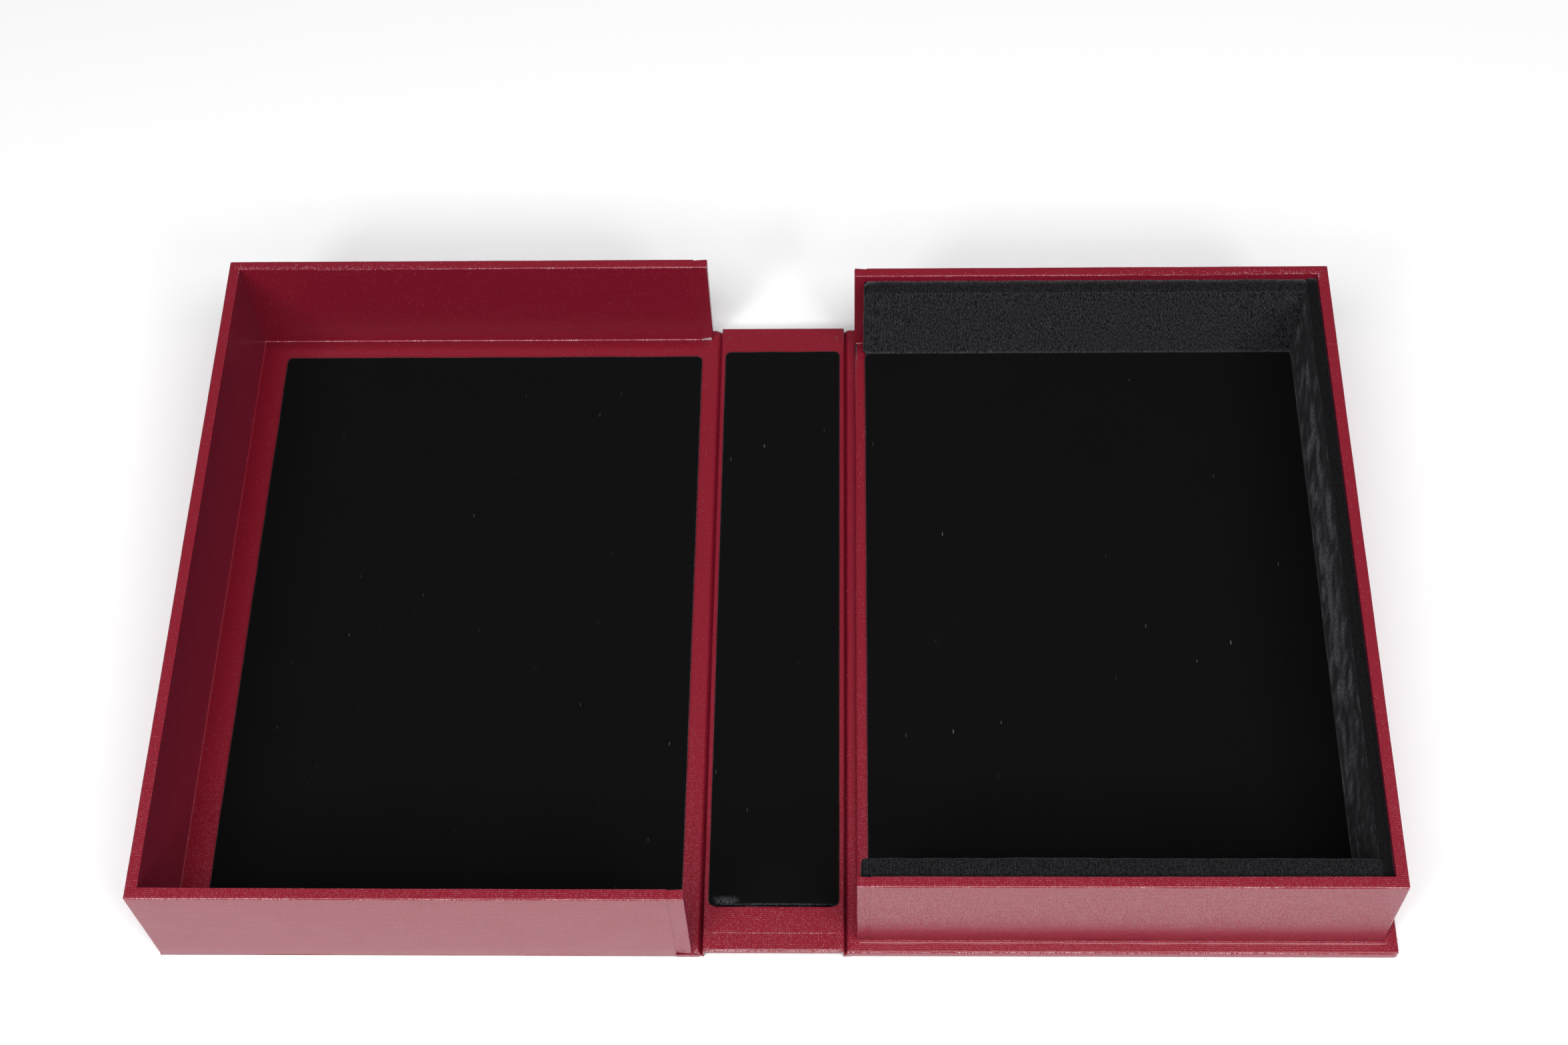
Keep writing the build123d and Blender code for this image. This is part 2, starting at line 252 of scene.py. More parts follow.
def book_cloth(cloth):
    """Starch-filled cotton book cloth: a plain weave under a thin glossy filling, so that each thread
    crown can catch the light, and a wall seen at a slant mirrors what lies before it."""
    material, tree = new_material("starched_book_cloth")
    uv = node(tree, "ShaderNodeUVMap", uv_map="weave").outputs["UV"]
    place = node(tree, "ShaderNodeSeparateXYZ", Vector=uv)

    # the threads wander a little, in waves of 11 mm
    drift = node(tree, NOISE, Vector=uv, Scale=1 / (11.11 * MM), Detail=1.0)
    across = node(tree, MATHS, operation="DIVIDE", i0=place.outputs["X"], i1=cloth.warp)
    across = node(tree, MATHS, operation="ADD", i0=across, i1=drift)
    along = node(tree, MATHS, operation="DIVIDE", i0=place.outputs["Y"], i1=cloth.weft)
    along = node(tree, MATHS, operation="ADD", i0=along, i1=drift)
    column = node(tree, MATHS, operation="FLOOR", i0=across)
    row = node(tree, MATHS, operation="FLOOR", i0=along)
    cell = node(tree, "ShaderNodeCombineXYZ", i0=column, i1=row)
    chance = node(tree, "ShaderNodeTexWhiteNoise", noise_dimensions="2D", Vector=cell)

    # each cell is a crown: half a wave over the warp, and half a wave over the weft
    turn_x = node(tree, MATHS, operation="FRACT", i0=across)
    turn_x = node(tree, MATHS, operation="MULTIPLY", i0=turn_x, i1=pi)
    turn_y = node(tree, MATHS, operation="FRACT", i0=along)
    turn_y = node(tree, MATHS, operation="MULTIPLY", i0=turn_y, i1=pi)
    crown_x = node(tree, MATHS, operation="SINE", i0=turn_x)
    crown_y = node(tree, MATHS, operation="SINE", i0=turn_y)
    crown = node(tree, MATHS, operation="MULTIPLY", i0=crown_x, i1=crown_y)

    # most crowns are nearly flat under the filling, and a few stand out of it
    proud = node(tree, MATHS, operation="POWER", i0=chance, i1=2.0)
    least, most = -0.1 * cloth.relief, -0.5 * cloth.relief
    steep = node(tree, MATHS, operation="MULTIPLY_ADD", i0=proud, i1=most, i2=least)
    lean_x = node(tree, MATHS, operation="COSINE", i0=turn_x)
    lean_x = node(tree, MATHS, operation="MULTIPLY_ADD", i0=lean_x, i1=steep, i2=0.5)
    lean_y = node(tree, MATHS, operation="COSINE", i0=turn_y)
    lean_y = node(tree, MATHS, operation="MULTIPLY_ADD", i0=lean_y, i1=steep, i2=0.5)
    tilted = node(tree, "ShaderNodeCombineColor", Red=lean_x, Green=lean_y, Blue=1.0)
    normal = node(tree, "ShaderNodeNormalMap", uv_map="weave", Color=tilted)

    # threads differ: slubs, 17 mm long and 0.7 mm wide, and patches about 18 mm across
    stretched = node(
        tree, "ShaderNodeMapping", Vector=uv, Scale=(1 / (16.67 * MM), 1 / (0.7143 * MM), 1.0)
    )
    slubs = node(tree, NOISE, Vector=stretched, Scale=1.0, Detail=3.0, Roughness=0.7)
    patches = node(tree, NOISE, Vector=uv, Scale=1 / (18.18 * MM), Detail=3.0)

    # painted glints: some crowns are painted pale, where light would catch them: a few everywhere, and many
    # along the edges
    edge = node(tree, "ShaderNodeAttribute", attribute_name="edge").outputs["Fac"]
    at_edges = node(tree, MATHS, operation="POWER", i0=edge, i1=2.0)
    anywhere = node(tree, MATHS, operation="MULTIPLY", i0=patches, i1=0.05)
    share = node(tree, MATHS, operation="MULTIPLY_ADD", i0=at_edges, i1=0.8, i2=anywhere)
    least_chance = node(tree, MATHS, operation="SUBTRACT", i0=1.0, i1=share)
    glint_crowns = node(tree, "ShaderNodeMapRange", Value=chance, From_Min=least_chance)
    glint_crowns = node(tree, MATHS, operation="POWER", i0=glint_crowns, i1=0.6)
    bright = node(tree, MATHS, operation="MULTIPLY_ADD", i0=edge, i1=0.55, i2=0.45)
    glint_crowns = node(tree, MATHS, operation="MULTIPLY", i0=glint_crowns, i1=bright)

    # painted glints: on the upper sides, more towards the tail, the proud crowns are painted pale too
    worn = node(tree, "ShaderNodeAttribute", attribute_name="worn").outputs["Fac"]
    proud_tail_glints = node(tree, MATHS, operation="POWER", i0=worn, i1=2.0)
    proud_tail_glints = node(tree, MATHS, operation="MULTIPLY", i0=proud_tail_glints, i1=0.65)
    proud_tail_glints = node(tree, MATHS, operation="MULTIPLY", i0=proud_tail_glints, i1=proud)
    glint_crowns = node(tree, MATHS, operation="MAXIMUM", i0=glint_crowns, i1=proud_tail_glints)
    top = node(tree, MATHS, operation="POWER", i0=crown, i1=3.0)
    fleck = node(tree, MATHS, operation="MULTIPLY", i0=glint_crowns, i1=top)

    # lighter on the crowns and darker between them, a painted shade in the weave's hollows, and varied by
    # the slubs
    lit = node(tree, MATHS, operation="MULTIPLY_ADD", i0=crown, i1=0.25, i2=0.1)
    lit = node(tree, MATHS, operation="MULTIPLY_ADD", i0=slubs, i1=0.5, i2=lit)
    dark, red = linear(cloth.dark), linear(cloth.colour)
    threads = node(tree, MIX, data_type="RGBA", i0=lit, i6=dark, i7=red).outputs[2]
    # the pale colours of the painted glints, paler along the edges as a painted highlight
    worn_pale, glinting = linear(cloth.fleck), linear(cloth.glinting)
    pale = node(tree, MIX, data_type="RGBA", i0=edge, i6=worn_pale, i7=glinting).outputs[2]
    colour = node(tree, MIX, data_type="RGBA", i0=fleck, i6=threads, i7=pale).outputs[2]

    # the filling is glossier on the crowns and along the edges, and duller in patches
    polish = node(tree, MATHS, operation="MULTIPLY_ADD", i0=edge, i1=0.15, i2=0.38)
    shader = node(
        tree,
        PRINCIPLED,
        Base_Color=colour,
        Roughness=node(tree, MATHS, operation="MULTIPLY_ADD", i0=patches, i1=0.12, i2=0.40),
        IOR=1.5,
        Specular_IOR_Level=0.08,
        Coat_Weight=node(tree, MATHS, operation="MULTIPLY_ADD", i0=crown, i1=0.8, i2=polish),
        Coat_Roughness=0.13,
        Coat_IOR=1.48,
        Sheen_Weight=0.02,
        Sheen_Tint=linear("#B4B0FF"),
        Normal=normal,
        Coat_Normal=normal,
    )
    node(tree, "ShaderNodeOutputMaterial", Surface=shader)
    return material


def velvet_pile(velvet):
    """Cotton velvet: an upright pile that swallows light from in front and lights up at a slant. It
    stands in fine ribs, leans another way in patches and holds a little lint. Where a lining marks
    its pile, pale fibres are painted on it: fraying pile at the spine's tail, and a painted sheen on
    the faces and tops of the wall linings."""
    material, tree = new_material("black_cotton_velvet")
    place = node(tree, "ShaderNodeTexCoord").outputs["Object"]

    # patches of pile that lean another way, 40 mm across
    nap = node(tree, NOISE, Vector=place, Scale=1 / (38.46 * MM), Detail=4.0, Distortion=0.6)
    # single tufts. They are 0.1 mm apart on real velvet, and drawn at 0.4 mm so that they show
    pile = node(tree, NOISE, Vector=place, Scale=1 / (0.3846 * MM), Detail=2.0)

    # rows of the weave that holds the pile, seen as ribs 0.45 mm apart. A wave texture repeats after
    # a tenth of pi
    rib = pi / 10 / (0.4488 * MM)
    ribs = node(tree, "ShaderNodeMapping", Vector=place, Scale=(rib, rib, 1 / (16.67 * MM)))
    wave = node(
        tree, "ShaderNodeTexWave", Vector=ribs, Scale=1.0, Distortion=1.2, Detail=1.0, Detail_Scale=0.4
    ).outputs["Fac"]
    upright = node(
        tree,
        "ShaderNodeMapping",
        Vector=place,
        Scale=(1 / (0.4545 * MM), 1 / (0.4545 * MM), 1 / (1.4286 * MM)),
    )
    tufts = node(tree, NOISE, Vector=upright, Scale=1.0, Detail=3.0)
    loose = node(tree, "ShaderNodeMapRange", Value=tufts, From_Min=0.34, From_Max=0.80)
    ribbed = node(tree, MATHS, operation="MULTIPLY", i0=wave, i1=loose)

    # lint and bent fibres: short pale strokes, few and dim, in cells of 3 x 12.5 x 6 mm. Real ones
    # are thinner than the render can show
    turned = node(
        tree,
        "ShaderNodeMapping",
        Vector=place,
        Rotation=(0.2, 0.3, 0.9),
        Scale=(1 / (3.03 * MM), 1 / (12.5 * MM), 1 / (6.25 * MM)),
    )
    strokes = node(tree, "ShaderNodeTexVoronoi", Vector=turned, Scale=1.0)
    near = node(tree, MATHS, operation="LESS_THAN", i0=strokes.outputs["Distance"], i1=0.07)
    bright = node(tree, "ShaderNodeSeparateColor", Color=strokes.outputs["Color"])
    rare = node(tree, MATHS, operation="POWER", i0=bright, i1=14.0)
    dim = node(tree, MATHS, operation="MULTIPLY", i0=rare, i1=0.3)
    lint = node(tree, MATHS, operation="MULTIPLY", i0=near, i1=dim)

    # pale fibres painted where a lining marks its pile: fraying pile at the spine's tail, and a painted
    # sheen on the faces and tops of the wall linings
    fray = node(tree, "ShaderNodeAttribute", attribute_name="fray").outputs["Fac"]
    frayed = node(tree, MATHS, operation="MULTIPLY", i0=fray, i1=ribbed)
    pale = node(tree, MATHS, operation="MAXIMUM", i0=frayed, i1=lint)

    deep, black = linear(velvet.deep), linear(velvet.colour)
    base = node(tree, MIX, data_type="RGBA", i0=nap, i6=deep, i7=black).outputs[2]
    colour = node(tree, MIX, data_type="RGBA", i0=pale, i6=base, i7=linear(velvet.lint)).outputs[2]
    shader = node(
        tree,
        PRINCIPLED,
        Base_Color=colour,
        Roughness=1.0,
        Specular_IOR_Level=0.1,
        Sheen_Weight=node(tree, MATHS, operation="MULTIPLY_ADD", i0=ribbed, i1=0.9, i2=0.1),
        Sheen_Roughness=0.4,
        Sheen_Tint=linear("#A9A8B0"),
        Normal=node(tree, BUMP, Height=pile, Strength=0.5, Distance=0.15 * MM),
    )
    node(tree, "ShaderNodeOutputMaterial", Surface=shader)
    return material


def grey_board():
    """Binder's board: pressed waste paper, with short pale and dark fibres in it, about 1 mm long."""
    material, tree = new_material("binders_board")
    place = node(tree, "ShaderNodeTexCoord").outputs["Object"]
    fibres = node(tree, NOISE, Vector=place, Scale=1 / (1.111 * MM), Detail=5.0)
    dark, pale = linear("#7D766B"), linear("#A8A092")
    shader = node(
        tree,
        PRINCIPLED,
        Base_Color=node(tree, MIX, data_type="RGBA", i0=fibres, i6=dark, i7=pale).outputs[2],
        Roughness=0.85,
        Normal=node(tree, BUMP, Height=fibres, Strength=0.3, Distance=0.1 * MM),
    )
    node(tree, "ShaderNodeOutputMaterial", Surface=shader)
    return material


def bare_cotton():
    """The cotton under the book cloth's filling, where it is rubbed bare: dull, off-white and fuzzy."""
    material, tree = new_material("bare_cotton")
    place = node(tree, "ShaderNodeTexCoord").outputs["Object"]
    fibres = node(tree, NOISE, Vector=place, Scale=1 / (0.4 * MM), Detail=2.0)
    dyed, white = linear("#855E69"), linear("#BDA9B1")
    shader = node(
        tree,
        PRINCIPLED,
        Base_Color=node(tree, MIX, data_type="RGBA", i0=fibres, i6=dyed, i7=white).outputs[2],
        Roughness=0.95,
    )
    node(tree, "ShaderNodeOutputMaterial", Surface=shader)
    return material


def table_laminate():
    """Matt white laminate: even and pale, so that it shows only the box's soft shadow."""
    material, tree = new_material("matt_white_laminate")
    shader = node(
        tree, PRINCIPLED, Base_Color=linear("#FAFAFB"), Roughness=0.7, Specular_IOR_Level=0.2
    )
    node(tree, "ShaderNodeOutputMaterial", Surface=shader)
    return material


FINISHES = {}


def finish_named(name):
    """The material of a finish, made once."""
    scene = bpy.context.scene
    if name not in FINISHES:
        makers = {
            "cloth": lambda: book_cloth(scene.bookbox_cloth),
            "velvet": lambda: velvet_pile(scene.bookbox_velvet),
            "board": grey_board,
            "cotton": bare_cotton,
            "laminate": table_laminate,
        }
        FINISHES[name] = makers[name]()
    return FINISHES[name]


# ---------------------------------------------------------------- shared mesh work
def cut_lines(low, high, spacing):
    """Places between low and high for cuts about that far apart."""
    count = int((high - low) / spacing)
    return [low + (high - low) * i / (count + 1) for i in range(1, count + 1)]


def cut_across(bm, axis, places):
    """Cuts the whole mesh square to an axis at each place."""
    normal = Vector((axis == 0, axis == 1, axis == 2))
    for place in places:
        bmesh.ops.bisect_plane(
            bm,
            geom=bm.verts[:] + bm.edges[:] + bm.faces[:],
            plane_co=normal * place,
            plane_no=normal,
            dist=1e-7,
        )


def cut_grid(bm, spacing):
    """Cuts a mesh into cells, so that it can be shaped."""
    for axis in range(3):
        values = [v.co[axis] for v in bm.verts]
        cut_across(bm, axis, cut_lines(min(values), max(values), spacing))


def soften(bm, edges, radius, segments=3):
    """Rounds edges, and marks the rounding in the edge layer."""
    layer = bm.verts.layers.float.get("edge") or bm.verts.layers.float.new("edge")
    square = 0.93  # a normal with a part longer than this belongs to a flat side, not to the rounding
    made = bmesh.ops.bevel(
        bm,
        geom=edges,
        offset=radius,
        segments=segments,
        profile=0.5,
        affect="EDGES",
        clamp_overlap=True,
        material=-1,
    )
    bm.normal_update()
    for vert in made["verts"]:
        vert[layer] = float(max(abs(part) for part in vert.normal) < square)


def new_verts(made):
    """The vertices among what an operator made."""
    return [item for item in made["geom"] if isinstance(item, bmesh.types.BMVert)]


def face_up(bm):
    """Turns the faces of an open sheet so that its upper side is its outside."""
    bmesh.ops.recalc_face_normals(bm, faces=bm.faces[:])
    bm.normal_update()
    if sum(face.normal.z * face.calc_area() for face in bm.faces) < 0:
        bmesh.ops.reverse_faces(bm, faces=bm.faces[:])
    bm.normal_update()


def ripple(bm, depth, length, seed, share=lambda place: 1.0):
    """Moves the surface in and out by up to depth, in soft waves about length long. share gives how
    much of that each place gets."""
    bm.normal_update()
    moves = []
    for vert in bm.verts:
        place = vert.co / length + Vector((seed, 0, 0))
        moves.append((vert, vert.normal * noise.noise(place) * depth * share(vert.co)))
    for vert, move in moves:
        vert.co += move


def rising(value, start, end):
    """0 before start and 1 after end, with a smooth rise between them."""
    share = min(max((value - start) / (end - start), 0.0), 1.0)
    return share * share * (3 - 2 * share)


def lay_weave(bm):
    """Gives each face the two directions of the weave that lie in it."""
    layer = bm.loops.layers.uv.get("weave") or bm.loops.layers.uv.new("weave")
    bm.normal_update()
    for face in bm.faces:
        size = [abs(c) for c in face.normal]
        if size[2] >= max(size[0], size[1]):
            axes = (0, 1)
        elif size[1] >= size[0]:
            axes = (0, 2)
        else:
            axes = (1, 2)
        for loop in face.loops:
            loop[layer].uv = (loop.vert.co[axes[0]], loop.vert.co[axes[1]])


def lay_glints(bm):
    """Marks where glints are painted: on the cloth's upper sides, more towards the tail, and along the
    edges that face the tail and upwards, where a painted highlight stands for the lamps' light. The
    other edges keep a fifth of their marking."""
    layer = bm.verts.layers.float.new("worn")
    edge = bm.verts.layers.float.get("edge")
    unlit, glinting = -60 * MM, 125 * MM  # distances towards the tail where the painted glints start and are full
    sheltered = 0.2
    for vert in bm.verts:
        vert[layer] = max(vert.normal.z, 0.0) * rising(-vert.co.y, unlit, glinting)
        if edge:
            exposed = rising(-vert.normal.y, 0.1, 0.5) * (vert.normal.z > 0.1)
            vert[edge] *= sheltered + (1 - sheltered) * exposed


def make_piece(bm, name, finish, body=None, replaced=(), shell=0.0, even_normals=True):
    """Turns a bmesh into a finished piece that rides on its body and stands for its CAD nodes. shell
    is the thickness that a sheet of cloth gets."""
    lay_weave(bm)
    if finish == "cloth":
        lay_glints(bm)
    mesh = bpy.data.meshes.new(name)
    bm.to_mesh(mesh)
    bm.free()
    mesh.shade_smooth()
    piece = bpy.data.objects.new(name, mesh)
    bpy.context.scene.collection.objects.link(piece)
    mesh.materials.append(finish_named(finish))
    if shell:
        thick = piece.modifiers.new("cloth_thickness", "SOLIDIFY")
        thick.thickness = shell
        thick.offset = -1.0
    if even_normals:
        even = piece.modifiers.new("even_normals", "WEIGHTED_NORMAL")
        even.weight = 80
        even.keep_sharp = True
    if body:
        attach(piece, body)
    if replaced:
        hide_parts(*replaced)
    return piece


def box_mesh(low, high):
    """A new bmesh that holds one box."""
    bm = bmesh.new()
    size = Vector(high) - Vector(low)
    centre = (Vector(high) + Vector(low)) / 2
    matrix = Matrix.Translation(centre) @ Matrix.Diagonal((*size, 1.0))
    bmesh.ops.create_cube(bm, size=1.0, matrix=matrix)
    return bm


def edges_along(bm, axis, test=lambda middle: True):
    """The edges that run along an axis and whose middle passes a test."""
    found = []
    for edge in bm.edges:
        run = edge.verts[1].co - edge.verts[0].co
        if abs(run[axis]) > 0.999 * run.length and test((edge.verts[0].co + edge.verts[1].co) / 2):
            found.append(edge)
    return found


# ---------------------------------------------------------------- trays
def tray_plan(bm, start, outer, half, thick=WALL):
    """The U of a tray's walls seen from above, as one face. start and outer are the X of the wall
    ends and of the outside of the fore-edge wall."""
    inward = thick if start > outer else -thick
    inner = outer + inward
    inner_half = half - thick
    corners = [
        (start, -half),
        (outer, -half),
        (outer, half),
        (start, half),
        (start, inner_half),
        (inner, inner_half),
        (inner, -inner_half),
        (start, -inner_half),
    ]
    bm.faces.new([bm.verts.new((x, y, 0)) for x, y in corners])


def keep_corners(bm):
    """Shades across every edge where faces meet at a steep angle as a crisp one."""
    for edge in bm.edges:
        if len(edge.link_faces) == 2 and edge.calc_face_angle(0) > STEEP:
            edge.smooth = False


def covered_walls(name, start, outer, walls, floor, seam, cloth):
    """The cloth over a tray's three walls: up the outside, over the rim and down to the floor. start
    and outer are the X of the wall ends and of the outside of the fore-edge wall, and floor is the
    height of the tray's floor."""
    foot, rim, half = walls[0].z, walls[1].z, walls[1].y
    side = 1 if start < outer else -1
    inner = outer - side * WALL
    inner_half = half - WALL
    bm = bmesh.new()
    tray_plan(bm, start, outer, half)
    for vert in bm.verts:
        vert.co.z = rim
    made = bmesh.ops.extrude_edge_only(bm, edges=bm.edges[:])
    cove = 0.5 * MM
    for vert in new_verts(made):
        outside = abs(vert.co.y) > inner_half + 1e-6 or abs(vert.co.x - outer) < 1e-6
        vert.co.z = foot if outside else floor + cove
    face_up(bm)
    sharp = [
        e
        for e in bm.edges
        if len(e.link_faces) == 2
        and e.calc_face_angle(0) > STEEP
        and not all(abs(v.co.x - inner) + abs(abs(v.co.y) - inner_half) < 1e-6 for v in e.verts)
    ]
    soften(bm, sharp, 0.75 * cloth.edge)

    # the wall ends go down past the floor's edge on their inner side
    near = 0.7 * cloth.edge
    sunk = floor - 0.3 * MM
    for vert in bm.verts:
        if vert.is_boundary and abs(vert.co.x - start) < near and abs(vert.co.y) <= half - near:
            vert.co.z = min(vert.co.z, sunk)

    # the cove where the cloth turns on to the floor. Its rounding is marked in the edge layer, for a painted
    # highlight line along the wall's foot
    rows = [
        e
        for e in bm.edges
        if e.is_boundary
        and all(abs(v.co.z - floor - cove) < 1e-7 for v in e.verts)
        and all(abs(v.co.y) < inner_half + 1e-6 for v in e.verts)
    ]
    steps = 3
    lap = 0.06 * MM
    hidden_edge = 0.1 * MM
    # how strongly the cove's rounding is marked for the painted highlight line along the wall's foot
    glinting = 0.8
    layer = bm.verts.layers.float["edge"]
    for i in range(1, steps + 2):
        made = bmesh.ops.extrude_edge_only(bm, edges=rows)
        verts = new_verts(made)
        rows = [g for g in made["geom"] if isinstance(g, bmesh.types.BMEdge) and g.is_boundary]
        rows = [e for e in rows if all(v in verts for v in e.verts)]
        angle, before = (pi / 2 * k / steps for k in (i, i - 1))
        inward = cove * (cos(before) - cos(angle))
        down = (cove - lap) * (sin(angle) - sin(before))
        if i > steps:
            inward, down = hidden_edge, 5 * lap
        for vert in verts:
            vert[layer] = glinting * (i < steps)
            at_corner = abs(abs(vert.co.x) - abs(inner)) < cove + 1e-6
            vert.co.y -= inward * (1 if vert.co.y > 0 else -1)
            if at_corner:
                vert.co.x -= side * inward
            vert.co.z -= down
    face_up(bm)
    cut_grid(bm, BROAD_CELL)
    keep_corners(bm)
    seam = start + side * seam
    narrow = 0.06 * MM
    cut_across(bm, 0, [seam - side * narrow, seam + side * narrow])
    ripple(bm, 0.09 * MM, 22 * MM, 3.0 if side > 0 else 11.0)

    # one layer less between the seam and the wall ends
    bm.normal_update()
    lowered = [
        (v, v.normal.copy())
        for v in bm.verts
        if (seam - v.co.x) * side > narrow / 2 and (v.co.x - start) * side > cloth.edge * 0.9
    ]
    for vert, normal in lowered:
        flat = Vector((0, normal.y, normal.z))
        if flat.length > 0.1:
            vert.co -= flat.normalized() * cloth.step
    make_piece(bm, f"{name}_walls", "cloth", name, (f"{name}_wall_cloth",), cloth.thickness)


def covered_floor(name, box, walls, wall_start, cloth):
    """The cloth over a tray's floor, turned down over the open edge of its base. wall_start is the X
    of the wall ends."""
    low, high = box
    side = 1 if abs(high.x) > abs(low.x) else -1
    edge = low.x if side > 0 else high.x
    back = high.x if side > 0 else low.x
    inner_half = walls[1].y - WALL
    lip_half = high.y if abs(edge - wall_start) > 1e-5 else inner_half
    plan = [
        (edge, -lip_half),
        (wall_start, -lip_half),
        (wall_start, -inner_half),
        (back, -inner_half),
        (back, inner_half),
        (wall_start, inner_half),
        (wall_start, lip_half),
        (edge, lip_half),
    ]
    if lip_half == inner_half:
        plan = [plan[0], plan[3], plan[4], plan[7]]
    bm = bmesh.new()
    bm.faces.new([bm.verts.new((x, y, high.z)) for x, y in plan])
    made = bmesh.ops.extrude_edge_only(bm, edges=bm.edges[:])
    for vert in new_verts(made):
        vert.co.z = low.z
    face_up(bm)
    joint = edges_along(bm, 1, lambda middle: abs(middle.x - edge) < 1e-5 and middle.z > high.z - 1e-5)
    soften(bm, joint, JOINT_ROUND, 5)
    cut_grid(bm, BROAD_CELL)
    ripple(
        bm,
        0.08 * MM,
        20 * MM,
        5.0,
        lambda place: rising(abs(place.x - edge), *FLAT_BY_JOINT) * (place.z > low.z + MM),
    )
    make_piece(bm, f"{name}_floor", "cloth", name, (f"{name}_floor_cloth",), cloth.thickness)


class BOOKBOX_OT_tray_cloth(bpy.types.Operator):
    """Covers the walls and floors of both trays"""

    bl_idname = "bookbox.tray_cloth"
    bl_label = "Tray cloth"

    def execute(self, context):
        cloth = context.scene.bookbox_cloth
        large = (LARGE_WALLS[1].x, LARGE_WALLS[0].x, LARGE_WALLS, LARGE_FLOOR, cloth.large_seam)
        small = (SMALL_WALLS[0].x, SMALL_WALLS[1].x, SMALL_WALLS, SMALL_FLOOR, cloth.small_seam)
        for name, tray in (("large_tray", large), ("small_tray", small)):
            start, outer, walls, floor, seam = tray
            covered_walls(name, start, outer, walls, floor[1].z, seam, cloth)
            covered_floor(name, floor, walls, start, cloth)
        return {"FINISHED"}


class BOOKBOX_OT_case_cloth(bpy.types.Operator):
    """Covers the cover board and the spine board, and the underside of the large tray"""

    bl_idname = "bookbox.case_cloth"
    bl_label = "Case cloth"

    def execute(self, context):
        cloth = context.scene.bookbox_cloth
        bm = box_mesh(*COVER)
        corners = edges_along(bm, 2, lambda middle: middle.x > COVER[1].x - MM)
        soften(bm, corners, 1.3 * MM, 5)
        joint = edges_along(
            bm, 1, lambda middle: middle.x < COVER[0].x + 1e-5 and middle.z > COVER[1].z - 1e-5
        )
        soften(bm, joint, JOINT_ROUND, 5)
        sharp = [e for e in bm.edges if e.calc_face_angle(0) > STEEP]
        soften(bm, sharp, cloth.edge)
        cut_grid(bm, BROAD_CELL)
        underside = 0.6 * MM
        ripple(
            bm,
            0.08 * MM,
            24 * MM,
            17.0,
            lambda place: rising(place.x - COVER[0].x, *FLAT_BY_JOINT) * (place.z > underside),
        )
        make_piece(bm, "cover", "cloth", "small_tray", ("cover_cloth",), cloth.thickness)

        low, high = SPINE
        wave = (0.06 * MM, 20 * MM, 23.0)

        def from_sides(place):
            """How much the spine's cloth ripples: it lies flat beside the joints."""
            return rising(min(place.x - low.x, high.x - place.x), 3 * MM, 9 * MM)

        bm = box_mesh(low, high - Vector((0, 0, cloth.step)))
        soften(bm, edges_along(bm, 0) + edges_along(bm, 1), cloth.edge)
        cut_grid(bm, BROAD_CELL)
        ripple(bm, *wave, from_sides)
        make_piece(bm, "spine_outside", "cloth", "spine", ("spine_outer_cloth",), cloth.thickness)

        # the inner cloth ends short of the spine's ends, in a raw edge. A band at the tail end is marked in
        # the edge layer, for a painted highlight along it
        inset = Vector((0, cloth.turn_in, 0))
        bm = box_mesh(low + inset + Vector((0, 0, high.z - low.z - cloth.thickness)), high - inset)
        top = [e for e in bm.edges if all(v.co.z > high.z - 1e-6 for v in e.verts)]
        soften(bm, top, 0.15 * MM, 2)
        cut_grid(bm, BROAD_CELL)
        ripple(bm, *wave, from_sides)
        raw = low.y + cloth.turn_in + 0.45 * MM
        cut_across(bm, 1, [raw, raw + 0.15 * MM])
        layer = bm.verts.layers.float["edge"]
        for vert in bm.verts:
            if vert.co.y < raw + 0.05 * MM:
                vert[layer] = 1.0
        make_piece(bm, "spine_inside", "cloth", "spine", ("spine_inner_cloth",))

        bm = box_mesh(*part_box("large_tray_base_cloth"))
        cut_grid(bm, 15 * MM)
        make_piece(bm, "large_tray_underside", "cloth", "large_tray", ("large_tray_base_cloth",))
        return {"FINISHED"}


